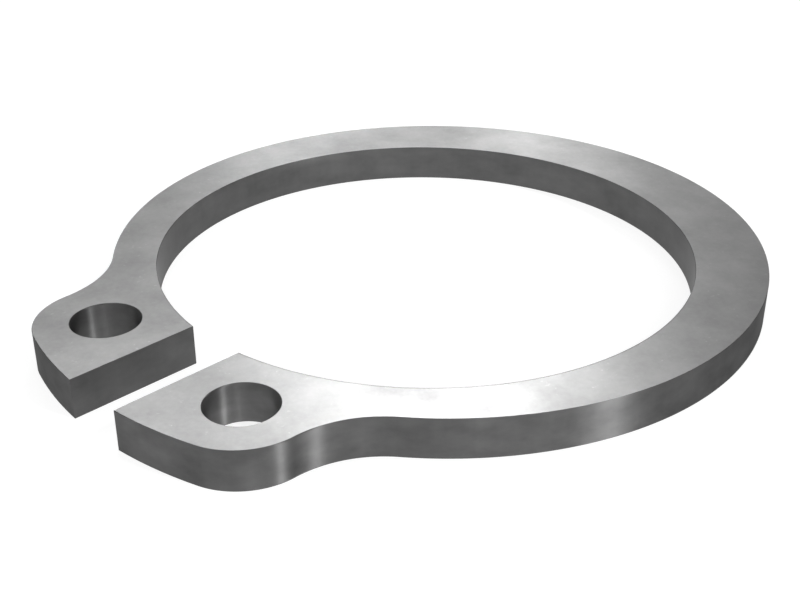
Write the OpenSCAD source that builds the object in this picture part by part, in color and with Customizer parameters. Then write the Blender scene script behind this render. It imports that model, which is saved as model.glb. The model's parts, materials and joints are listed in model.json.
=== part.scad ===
// External retaining ring for an 18 mm shaft, blanked flat from spring steel strip.
// The origin is the centre of the bore, the underside lies on z = 0 and the gap faces -Y.

/* [Bore] */
// Diameter of the bore, with the ring relaxed
bore_d = 16.5; // [14:0.1:30]
// Thickness of the strip
thickness = 1.2; // [0.6:0.05:3]

/* [Rim] */
// Radial width of the rim opposite the gap, where it is widest
rim_back_w = 2.42; // [1.6:0.02:4]
// Radial width that the rim narrows to at the gap
rim_front_w = 1.22; // [0.6:0.02:1.6]

/* [Lugs] */
// Radial height of the lugs, from the bore to their ends
lug_h = 3.9; // [3.4:0.1:6]
// Width of the gap between the parallel end faces
gap_w = 2; // [0.6:0.1:5]
// Diameter of each plier hole
hole_d = 2; // [1.2:0.1:2.4]
// Metal left around a plier hole, at the gap and at the corner of the lug
hole_wall = 1; // [0.6:0.05:1.4]
// Radius of the hollow neck between a lug and the rim
neck_r = 3.1; // [1:0.1:6]

/* [Hidden] */
$fn = 180;

bore_r = bore_d / 2;

// The rim is eccentric: its outer edge is a circle set back from the bore's centre
rim_r = bore_r + (rim_back_w + rim_front_w) / 2;
rim_at = [0, (rim_back_w - rim_front_w) / 2];

// The lug's corner is an arc about the plier hole, and its end an arc about the bore
lug_end_r = bore_r + lug_h;
corner_r = hole_d / 2 + hole_wall;
hole_reach = lug_end_r - corner_r;
hole_x = gap_w / 2 + corner_r;
hole_at = [hole_x, -sqrt(hole_reach^2 - hole_x^2)];

// A length that reaches past the lugs from anywhere in the ring
past = 2 * lug_end_r;

// The neck's centre is where an arc of neck_r touches both the corner and the rim
neck_at = apex(hole_at, corner_r + neck_r, rim_at, rim_r + neck_r);

// Point at distance p_r from p and q_r from q, to the right of the way from p to q
function apex(p, p_r, q, q_r) =
    let (span = norm(q - p),
         ahead = (q - p) / span,
         aside = [ahead.y, -ahead.x],
         run = (span^2 + p_r^2 - q_r^2) / (2 * span))
    p + run * ahead + sqrt(p_r^2 - run^2) * aside;

// A shape on the right and its mirror image on the left
module both_sides() {
    children();
    mirror([1, 0]) children();
}

// Lug on the right, from the middle line to the neck, without its hole
module lug_blank() {
    // End, from the middle line to the line through the plier hole
    intersection() {
        circle(r = lug_end_r);
        polygon([[0, 0], [0, -past], past * hole_at / hole_reach]);
    }
    // Corner
    translate(hole_at) circle(r = corner_r);
    // Neck, which runs into the corner and the rim without a step
    difference() {
        polygon([rim_at, hole_at, neck_at]);
        translate(neck_at) circle(r = neck_r);
    }
}

// Outline that the die cuts: rim and lugs, less the bore, the gap and the plier holes
module ring_outline() {
    difference() {
        union() {
            translate(rim_at) circle(r = rim_r);
            both_sides() lug_blank();
        }
        circle(r = bore_r);
        translate([-gap_w / 2, -past]) square([gap_w, past]);
        both_sides() translate(hole_at) circle(d = hole_d);
    }
}

module retaining_ring() {
    color("silver") linear_extrude(thickness) ring_outline();
}

retaining_ring();
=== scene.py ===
import json
import math

import bmesh
import bpy
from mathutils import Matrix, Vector


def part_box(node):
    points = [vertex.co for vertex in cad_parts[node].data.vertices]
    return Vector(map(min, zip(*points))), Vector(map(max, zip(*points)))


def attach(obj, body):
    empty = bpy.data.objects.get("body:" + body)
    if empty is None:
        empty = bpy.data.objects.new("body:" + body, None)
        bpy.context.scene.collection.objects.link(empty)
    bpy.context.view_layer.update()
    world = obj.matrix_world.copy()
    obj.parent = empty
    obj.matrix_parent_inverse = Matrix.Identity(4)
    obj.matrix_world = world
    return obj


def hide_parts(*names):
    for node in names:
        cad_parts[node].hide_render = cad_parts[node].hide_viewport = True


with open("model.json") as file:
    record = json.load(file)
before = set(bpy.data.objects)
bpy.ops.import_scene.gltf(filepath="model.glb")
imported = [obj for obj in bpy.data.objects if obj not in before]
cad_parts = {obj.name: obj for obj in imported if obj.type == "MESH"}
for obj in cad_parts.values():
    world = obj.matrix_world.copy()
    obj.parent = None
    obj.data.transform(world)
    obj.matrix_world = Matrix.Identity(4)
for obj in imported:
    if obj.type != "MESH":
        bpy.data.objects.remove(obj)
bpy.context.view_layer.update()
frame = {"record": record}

# Millimetres and degrees, in the script's own units
MM = 0.001
DEGREE = math.pi / 180

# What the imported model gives: the bore, the plier holes and the thickness of the strip
MOUNTS = {mount["name"]: mount for mount in frame["record"]["mounts"]}
BORE_R = MOUNTS["shaft_seat"]["dims"]["r_mm"] * MM
HOLE_R = MOUNTS["plier_hole_right"]["dims"]["r_mm"] * MM
HOLE_AT = Vector(MOUNTS["plier_hole_right"]["pos_m"][:2])
UNDERSIDE_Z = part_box("retaining_ring")[0].z
TOP_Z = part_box("retaining_ring")[1].z

# Outline beyond the bore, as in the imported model
RIM_BACK_W = 2.42 * MM
RIM_FRONT_W = 1.22 * MM
HOLE_WALL = 1 * MM
NECK_R = 3.1 * MM
RIM_R = BORE_R + (RIM_BACK_W + RIM_FRONT_W) / 2
RIM_AT = Vector((0, (RIM_BACK_W - RIM_FRONT_W) / 2))
CORNER_R = HOLE_R + HOLE_WALL
LUG_END_R = HOLE_AT.length + CORNER_R
GAP_HALF = HOLE_AT.x - CORNER_R
CENTRE = Vector((0, 0))

# Rounding of the edges, more on the side where the punch came in
EDGE_ROUND = 0.01 * MM
UNDER_ROUND = 0.008 * MM
ROUND_STEPS = 3

# How finely the curves are cut, and how far from the flats the walls get a line that holds their shading
SIDES_PER_TURN = 288
HOLE_SIDES = 96
HOLD = 0.03 * MM

# Corners closer than this count as one, and a face whose normal rises more than this as flat
MERGE = 0.0001 * MM
LEVEL = 0.9999

# Ways and planes that the materials measure in
ACROSS = (1, 0, 0)
UPRIGHT = (0, 0, 1)
IN_PLAN = (1, 1, 0)

# Satin flats: tone and roughness of the steel, and how much each pattern changes them
FLAT_TONE = 0.368
CLOUDS_TONE = 0.27
WIDE_TONE = 0.12
WISPS_TONE = 0.05
FINE_TONE = 0.08
FLECKS_TONE = 0.12
FLAT_ROUGHNESS = 0.31
CLOUDS_POLISH = 0.05
WISPS_POLISH = 0.03

# Painted shade, a dark line on the flats along the bore that stands in for the shading of the rounded edge:
# its width, its depth, and the way towards the side where it is painted
BORE_LINE = 0.035 * MM
BORE_LINE_DEPTH = 0.8
EDGE_SHADE_WAY = (math.sqrt(0.5), -math.sqrt(0.5), 0)

# Die-cut walls: tones, dark partly as the finish of cut steel and partly as painted shade, and how much the
# drawn lines and the clouds change the tone and the roughness
OUTLINE_TONE = 0.153
BORE_TONE = 0.115
LINES_TONE = 0.12
WALL_CLOUDS_ROUGHNESS = 0.05

# Plier holes, with painted light and shade: tone of the right one (painted lighter than the other walls),
# the left one's share of it (painted shade), the share high up and the gain low down (painted light)
HOLE_TONE = 0.195
LEFT_HOLE_SHARE = 0.7
HIGH_SHARE = 0.97
LOW_GAIN = 0.36

# Camera, as the photograph was framed
LENS_MM = 56.44
SENSOR_MM = 36
CLIP_START = 1 * MM
CAMERA_AZIMUTH = 44.94 * DEGREE
CAMERA_ELEVATION = 28.46 * DEGREE
CAMERA_DISTANCE = 38.43 * MM
CAMERA_TARGET = Vector((0.403, -1.521, 0)) * MM

# Greys of the room and the floor, the share of white that the floor gives off by itself, and its size
ROOM_GREY = 0.32
FLOOR_GREY = 0.3
FLOOR_GLOW = 0.79
FLOOR_SIZE = 8

# Lamps by name: azimuth, elevation and the angle that each spans, in degrees, and its strength
LAMPS = {
    "window_high": (132.1, 38.1, 10, 0.294),
    "window_low": (128.1, 19.1, 4.1, 0.03),
    "window_side": (139.9, 27, 2, 0.048),
    "window_left": (152.3, 41.1, 2, 0.126),
    "strip_low": (8, 0.7, 1, 0.375),
    "strip_skirt": (34, 6, 30, 0.075),
    "strip_high": (20, 42, 5, 0.83),
    "strip_front": (-27, 42, 6, 0.13),
    "fill_right": (-18, 20, 60, 0.875),
    "fill_front": (-75, 20, 60, 0.59),
    "fill_edge": (-118, 15, 24, 0.17),
    "fill_far_right": (72, 25, 60, 0.16),
    "fill_left": (-155, 25, 60, 0.25),
    "ceiling": (0, 90, 90, 0.6),
}


class Value:
    """A number that a shader works out, which adds a Math node for each operator."""

    def __init__(self, shader, socket):
        self.shader = shader
        self.socket = socket

    def worked_out(self, operation, first, second):
        return self.shader.node("ShaderNodeMath", {"operation": operation}, {0: first, 1: second})["Value"]

    def __add__(self, other):
        return self.worked_out("ADD", self, other)

    def __radd__(self, other):
        return self.worked_out("ADD", other, self)

    def __sub__(self, other):
        return self.worked_out("SUBTRACT", self, other)

    def __rsub__(self, other):
        return self.worked_out("SUBTRACT", other, self)

    def __mul__(self, other):
        return self.worked_out("MULTIPLY", self, other)

    def __rmul__(self, other):
        return self.worked_out("MULTIPLY", other, self)


class Shader:
    """The node tree of a material or a world, emptied to be built anew."""

    def __init__(self, owner):
        owner.use_nodes = True
        self.tree = owner.node_tree
        self.tree.nodes.clear()

    def node(self, kind, settings=None, sockets=None):
        """Adds a node, with its settings before its sockets, and gives its outputs by name."""
        added = self.tree.nodes.new(kind)
        for name, setting in (settings or {}).items():
            setattr(added, name, setting)
        inputs = {socket.name: socket for socket in reversed(added.inputs) if socket.enabled}
        for name, content in (sockets or {}).items():
            socket = added.inputs[name] if isinstance(name, int) else inputs[name]
            if isinstance(content, Value):
                self.tree.links.new(content.socket, socket)
            else:
                socket.default_value = content
        return {socket.name: Value(self, socket) for socket in added.outputs if socket.enabled}

    def place(self, per_mm, turn=0):
        """The piece's own coordinates, turned about the upright and counted so many to the millimetre."""
        own = self.node("ShaderNodeTexCoord")["Object"]
        counts = [count / MM for count in per_mm]
        turned = {"Vector": own, "Rotation": (0, 0, turn)}
        turned = self.node("ShaderNodeMapping", {"vector_type": "POINT"}, turned)["Vector"]
        sized = {"Vector": turned, "Scale": counts}
        return self.node("ShaderNodeMapping", {"vector_type": "POINT"}, sized)["Vector"]

    def cloud(self, per_mm, detail=2, turn=0, roughness=0.55):
        """Noise from about -0.5 to 0.5, with so many patches to the millimetre along each axis."""
        noise = {"Vector": self.place(per_mm, turn), "Scale": 1, "Detail": detail, "Roughness": roughness}
        return self.node("ShaderNodeTexNoise", {}, noise)["Fac"] - 0.5

    def part_of(self, place, way):
        """How far a place lies along a way."""
        return self.node("ShaderNodeVectorMath", {"operation": "DOT_PRODUCT"}, {0: place, 1: way})["Value"]

    def ramp(self, value, zero_at, one_at):
        """0 at one value and 1 at another, straight in between and level beyond them."""
        limits = {"Value": value, "From Min": zero_at, "From Max": one_at}
        return self.node("ShaderNodeMapRange", {"clamp": True}, limits)["Result"]


def angle_of(way):
    """The angle of a way in plan, anticlockwise from +X."""
    return math.atan2(way.y, way.x)


def crossing(start, start_reach, end, end_reach):
    """The point right of the way from start to end that lies at these distances from them."""
    span = (end - start).length
    ahead = (end - start) / span
    aside = Vector((ahead.y, -ahead.x))
    run = (span**2 + start_reach**2 - end_reach**2) / (2 * span)
    return start + run * ahead + math.sqrt(start_reach**2 - run**2) * aside


NECK_AT = crossing(HOLE_AT, CORNER_R + NECK_R, RIM_AT, RIM_R + NECK_R)


def choose(piece, kind, wanted):
    """Selects, in edit mode, the edges or faces that pass a test, and nothing else."""
    bpy.ops.mesh.select_mode(type=kind)
    bpy.ops.mesh.select_all(action="DESELECT")
    mesh = bmesh.from_edit_mesh(piece.data)
    for part in mesh.edges if kind == "EDGE" else mesh.faces:
        part.select_set(wanted(part))
    bmesh.update_edit_mesh(piece.data)


def upright_at(x, y):
    """A test for the upright edge at a place in plan."""
    def wanted(edge):
        return all(abs(corner.co.x - x) < MERGE and abs(corner.co.y - y) < MERGE for corner in edge.verts)
    return wanted


def rim_at_height(z):
    """A test for the open edges at a height."""
    def wanted(edge):
        return edge.is_boundary and all(abs(corner.co.z - z) < MERGE for corner in edge.verts)
    return wanted


def lies_flat(face):
    """Whether a face is part of the two flat sides."""
    return abs(face.normal.z) > LEVEL


def lies_on_gap(face):
    """Whether a face is part of the flat ends at the gap."""
    return all(abs(abs(corner.co.x) - GAP_HALF) < MERGE for corner in face.verts)


def lines_bore(face):
    """Whether a face is part of the bore's wall or of the flat ends at the gap."""
    inside_bore = all(corner.co.xy.length < BORE_R + MERGE for corner in face.verts)
    return inside_bore or lies_on_gap(face)


def lines_hole(face):
    """Whether a face is part of a plier hole's wall."""
    corners = [Vector((abs(corner.co.x), corner.co.y)) for corner in face.verts]
    return all((corner - HOLE_AT).length < HOLE_R + MERGE for corner in corners)


def assign(piece, material):
    """Gives the selected faces a material of the piece."""
    piece.active_material_index = piece.data.materials.find(material)
    bpy.ops.object.material_slot_assign()


def borders(wanted):
    """A test for the edges between faces that pass a test and faces that don't."""
    def parts(edge):
        return len({wanted(face) for face in edge.link_faces}) > 1
    return parts


def sweep(centre, start, end):
    """Sweeps the selected edge about a centre, anticlockwise where end is above start."""
    turn = end - start
    steps = math.ceil(abs(turn) / (2 * math.pi) * SIDES_PER_TURN)
    bpy.ops.mesh.spin(steps=steps, angle=-turn, center=(centre.x, centre.y, 0), axis=(0, 0, 1))


def blanked_walls():
    """The walls of the right half: gap face, lug end, corner, neck, rim, bore and plier hole."""
    wall_low = UNDERSIDE_Z + UNDER_ROUND
    wall_high = TOP_Z - EDGE_ROUND
    wall_z = (wall_low + wall_high) / 2
    inner_y = -math.sqrt(BORE_R**2 - GAP_HALF**2)
    outer_y = -math.sqrt(LUG_END_R**2 - GAP_HALF**2)
    gap_face_at = (GAP_HALF, (inner_y + outer_y) / 2, wall_z)
    bpy.ops.mesh.primitive_plane_add(size=1, location=gap_face_at, rotation=(0, -math.pi / 2, 0))
    piece = bpy.context.object
    piece.name = "steel_ring"
    piece.scale = (wall_high - wall_low, inner_y - outer_y, 1)
    bpy.ops.object.transform_apply(location=True, rotation=True, scale=True)
    bpy.ops.object.mode_set(mode="EDIT")

    to_hole = angle_of(HOLE_AT)
    to_neck = angle_of(NECK_AT - HOLE_AT)
    neck_to_rim = angle_of(RIM_AT - NECK_AT)
    choose(piece, "EDGE", upright_at(GAP_HALF, outer_y))
    sweep(CENTRE, angle_of(Vector((GAP_HALF, outer_y))), to_hole)
    sweep(HOLE_AT, to_hole, to_neck)
    sweep(NECK_AT, to_neck + math.pi, neck_to_rim)
    sweep(RIM_AT, neck_to_rim - math.pi, math.pi / 2)
    choose(piece, "EDGE", upright_at(GAP_HALF, inner_y))
    sweep(CENTRE, angle_of(Vector((GAP_HALF, inner_y))), math.pi / 2)

    hole_at = (HOLE_AT.x, HOLE_AT.y, wall_z)
    bpy.ops.mesh.primitive_cylinder_add(
        vertices=HOLE_SIDES,
        radius=HOLE_R,
        depth=wall_high - wall_low,
        end_fill_type="NOTHING",
        location=hole_at,
    )
    for hold_z in (wall_low + HOLD, wall_high - HOLD):
        bpy.ops.mesh.select_all(action="SELECT")
        bpy.ops.mesh.bisect(plane_co=(0, 0, hold_z), plane_no=(0, 0, 1), threshold=MERGE)
    bpy.ops.object.mode_set(mode="OBJECT")
    return piece


def mirror_half(piece):
    """Adds the left half, the mirror image of the right."""
    mirror = piece.modifiers.new("left_half", "MIRROR")
    mirror.use_axis = (True, False, False)
    mirror.use_mirror_merge = True
    mirror.merge_threshold = MERGE
    bpy.ops.object.modifier_apply(modifier=mirror.name)


def round_over(piece, facing, radius):
    """Rounds a flat side over to the walls, and gives the side inside the rounding its satin steel."""
    choose(piece, "FACE", lambda face: face.normal.z * facing > LEVEL)
    step = math.pi / 2 / ROUND_STEPS
    for lap in range(ROUND_STEPS):
        across = radius * (math.cos(lap * step) - math.cos((lap + 1) * step))
        up = radius * (math.sin((lap + 1) * step) - math.sin(lap * step))
        bpy.ops.mesh.inset(thickness=across, depth=up, use_boundary=True, use_even_offset=True)
    assign(piece, "satin_flat_steel")


def flat_faces(piece):
    """Closes the ring above and below, and rounds both flat sides over to the walls."""
    bpy.ops.object.mode_set(mode="EDIT")
    choose(piece, "EDGE", rim_at_height(TOP_Z - EDGE_ROUND))
    bpy.ops.mesh.fill(use_beauty=True)
    choose(piece, "EDGE", rim_at_height(UNDERSIDE_Z + UNDER_ROUND))
    bpy.ops.mesh.fill(use_beauty=True)
    bpy.ops.mesh.select_all(action="SELECT")
    bpy.ops.mesh.normals_make_consistent(inside=False)
    round_over(piece, 1, EDGE_ROUND)
    round_over(piece, -1, UNDER_ROUND)
    bpy.ops.object.mode_set(mode="OBJECT")


def smooth_walls(piece):
    """Walls and rounded edges are smooth, and the flat sides and the gap's ends are set off from them."""
    bpy.ops.object.shade_smooth()
    bpy.ops.object.mode_set(mode="EDIT")
    choose(piece, "EDGE", borders(lies_flat))
    bpy.ops.mesh.mark_sharp()
    choose(piece, "EDGE", borders(lies_on_gap))
    bpy.ops.mesh.mark_sharp()
    bpy.ops.object.mode_set(mode="OBJECT")


def paint_walls(piece):
    """The bore with the gap, and the plier holes, get their own steel."""
    bpy.ops.object.mode_set(mode="EDIT")
    choose(piece, "FACE", lines_bore)
    assign(piece, "dressed_bore_steel")
    choose(piece, "FACE", lines_hole)
    assign(piece, "punched_hole_steel")
    bpy.ops.object.mode_set(mode="OBJECT")


def grey(shader, tone):
    """A grey whose tone may change over the surface."""
    parts = {"Red": tone, "Green": tone, "Blue": tone}
    return shader.node("ShaderNodeCombineColor", {"mode": "RGB"}, parts)["Color"]


def flat_steel():
    """Satin strip: pale grey and clouded by the rolls, with a fine grain, a few bright flecks and a painted
    shade line along the bore on the near side.
    """
    material = bpy.data.materials.new("satin_flat_steel")
    shader = Shader(material)
    clouds = shader.cloud(per_mm=(0.65, 0.65, 0.65), detail=6, turn=200 * DEGREE, roughness=0.5)
    wide = shader.cloud(per_mm=(0.3, 0.3, 0.3), detail=2)
    wisps = shader.cloud(per_mm=(1.5, 1.5, 1.5), detail=4, turn=45 * DEGREE)
    fine = shader.cloud(per_mm=(7, 7, 7), detail=3, turn=45 * DEGREE)
    specks = shader.cloud(per_mm=(9, 6, 9), detail=2, turn=20 * DEGREE)
    in_patches = shader.ramp(wisps, zero_at=-0.02, one_at=0.1)
    flecks = shader.ramp(specks, zero_at=0.16, one_at=0.24) * in_patches
    tone = FLAT_TONE + CLOUDS_TONE * clouds + WIDE_TONE * wide + WISPS_TONE * wisps
    tone = tone + FINE_TONE * fine + FLECKS_TONE * flecks

    # Painted shade: the flats darken in a thin line beside the bore's edge, only on the near side
    place = shader.place(IN_PLAN)
    from_centre = shader.node("ShaderNodeVectorMath", {"operation": "LENGTH"}, {0: place})["Value"]
    line_starts = (BORE_R + EDGE_ROUND) / MM
    line = shader.ramp(from_centre, zero_at=line_starts + BORE_LINE / MM, one_at=line_starts)
    shaded_side = shader.ramp(shader.part_of(place, EDGE_SHADE_WAY), zero_at=2, one_at=6)
    tone = tone * (1 - BORE_LINE_DEPTH * line * shaded_side)

    rough = FLAT_ROUGHNESS - CLOUDS_POLISH * clouds - WISPS_POLISH * wisps
    bump = {"Height": fine + wisps, "Strength": 0.1, "Distance": 0.002 * MM}
    normal = shader.node("ShaderNodeBump", {}, bump)["Normal"]
    steel = {"Base Color": grey(shader, tone), "Metallic": 1, "Roughness": rough, "Normal": normal}
    steel = shader.node("ShaderNodeBsdfPrincipled", {}, steel)["BSDF"]
    shader.node("ShaderNodeOutputMaterial", {}, {"Surface": steel})
    return material


def drawn_steel(name, shade, mottled, roughness, drawn, edge_tint):
    """Walls left by the die: dark, partly as cut steel is and partly as painted shade, and drawn out along
    the cut so that highlights stand upright.
    """
    material = bpy.data.materials.new(name)
    shader = Shader(material)
    clouds = shader.cloud(per_mm=(0.8, 0.8, 1.5), detail=5)
    lines = shader.cloud(per_mm=(4, 4, 0.4), detail=2)
    tone = shade(shader) * (1 + mottled * clouds + LINES_TONE * lines)
    rough = roughness + WALL_CLOUDS_ROUGHNESS * clouds
    steel = {"Base Color": grey(shader, tone), "Metallic": 1, "Roughness": rough}
    steel["Anisotropic"] = drawn
    steel["Anisotropic Rotation"] = 0.25
    steel["Specular Tint"] = (edge_tint, edge_tint, edge_tint, 1)
    steel = shader.node("ShaderNodeBsdfPrincipled", {}, steel)["BSDF"]
    shader.node("ShaderNodeOutputMaterial", {}, {"Surface": steel})
    return material


def outline_steel():
    """The outline, sheared by the blanking die."""
    def shade(shader):
        return OUTLINE_TONE
    return drawn_steel("blanked_outline_steel", shade, mottled=1, roughness=0.485, drawn=1, edge_tint=0.46)


def bore_steel():
    """The bore and the gap, dressed a little finer."""
    def shade(shader):
        return BORE_TONE
    return drawn_steel("dressed_bore_steel", shade, mottled=0.75, roughness=0.43, drawn=0.6, edge_tint=0.75)


def hole_steel():
    """The plier holes, with painted light and shade: lighter than the other walls, the left one painted
    darker than the right, and both painted lighter low down.
    """
    def shade(shader):
        # Painted shade on the left hole, and painted light low down in both
        right = shader.ramp(shader.part_of(shader.place(ACROSS), ACROSS), zero_at=-2, one_at=2)
        low = shader.ramp(shader.part_of(shader.place(UPRIGHT), UPRIGHT), zero_at=1, one_at=0.5)
        side = LEFT_HOLE_SHARE + (1 - LEFT_HOLE_SHARE) * right
        return HOLE_TONE * side * (HIGH_SHARE + LOW_GAIN * low)
    return drawn_steel("punched_hole_steel", shade, mottled=1, roughness=0.52, drawn=1, edge_tint=1)


def white_floor():
    """A pale floor that takes the ring's shadow, and that the camera and the metal see as white."""
    bpy.ops.mesh.primitive_plane_add(size=FLOOR_SIZE, location=(0, 0, UNDERSIDE_Z))
    floor = bpy.context.object
    floor.name = "floor"
    material = bpy.data.materials.new("pale_floor")
    shader = Shader(material)
    rays = shader.node("ShaderNodeLightPath")
    seen = rays["Is Camera Ray"] + rays["Is Glossy Ray"] + rays["Is Transmission Ray"]
    floor_grey = (FLOOR_GREY, FLOOR_GREY, FLOOR_GREY, 1)
    matt = shader.node("ShaderNodeBsdfDiffuse", {}, {"Color": floor_grey})["BSDF"]
    glow = shader.node("ShaderNodeEmission", {}, {"Strength": seen * FLOOR_GLOW})["Emission"]
    both = shader.node("ShaderNodeAddShader", {}, {0: matt, 1: glow})["Shader"]
    shader.node("ShaderNodeOutputMaterial", {}, {"Surface": both})
    floor.data.materials.append(material)


def grey_room():
    """Even light from all round."""
    world = bpy.data.worlds.new("room")
    bpy.context.scene.world = world
    shader = Shader(world)
    room = {"Color": (ROOM_GREY, ROOM_GREY, ROOM_GREY, 1), "Strength": 1}
    room = shader.node("ShaderNodeBackground", {}, room)["Background"]
    shader.node("ShaderNodeOutputWorld", {}, {"Surface": room})


def soft_light(name, azimuth, elevation, width, strength):
    """A far-off soft light. Azimuth turns anticlockwise from +X, and width is the angle that it spans."""
    lamp = bpy.data.lights.new(name, "SUN")
    lamp.energy = strength
    lamp.angle = width * DEGREE
    light = bpy.data.objects.new(name, lamp)
    bpy.context.scene.collection.objects.link(light)
    azimuth = azimuth * DEGREE
    elevation = elevation * DEGREE
    towards = Vector((
        math.cos(azimuth) * math.cos(elevation),
        math.sin(azimuth) * math.cos(elevation),
        math.sin(elevation),
    ))
    light.location = towards
    light.rotation_mode = "QUATERNION"
    light.rotation_quaternion = towards.to_track_quat("Z", "Y")


def studio_camera():
    """The camera, set where the photograph was taken from."""
    back = Vector((
        math.sin(CAMERA_AZIMUTH) * math.cos(CAMERA_ELEVATION),
        -math.cos(CAMERA_AZIMUTH) * math.cos(CAMERA_ELEVATION),
        math.sin(CAMERA_ELEVATION),
    ))
    bpy.ops.object.camera_add(location=CAMERA_TARGET + back * CAMERA_DISTANCE)
    camera = bpy.context.object
    camera.name = "camera"
    camera.rotation_mode = "QUATERNION"
    camera.rotation_quaternion = back.to_track_quat("Z", "Y")
    camera.data.lens = LENS_MM
    camera.data.sensor_width = SENSOR_MM
    camera.data.clip_start = CLIP_START
    bpy.context.scene.camera = camera


bpy.ops.object.select_all(action="DESELECT")
studio_camera()
ring = blanked_walls()
for steel in (outline_steel(), bore_steel(), hole_steel(), flat_steel()):
    ring.data.materials.append(steel)
mirror_half(ring)
paint_walls(ring)
flat_faces(ring)
smooth_walls(ring)
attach(ring, "root")
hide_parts("retaining_ring")

white_floor()
grey_room()
for name, settings in LAMPS.items():
    soft_light(name, *settings)

bpy.context.scene.view_settings.view_transform = "Standard"
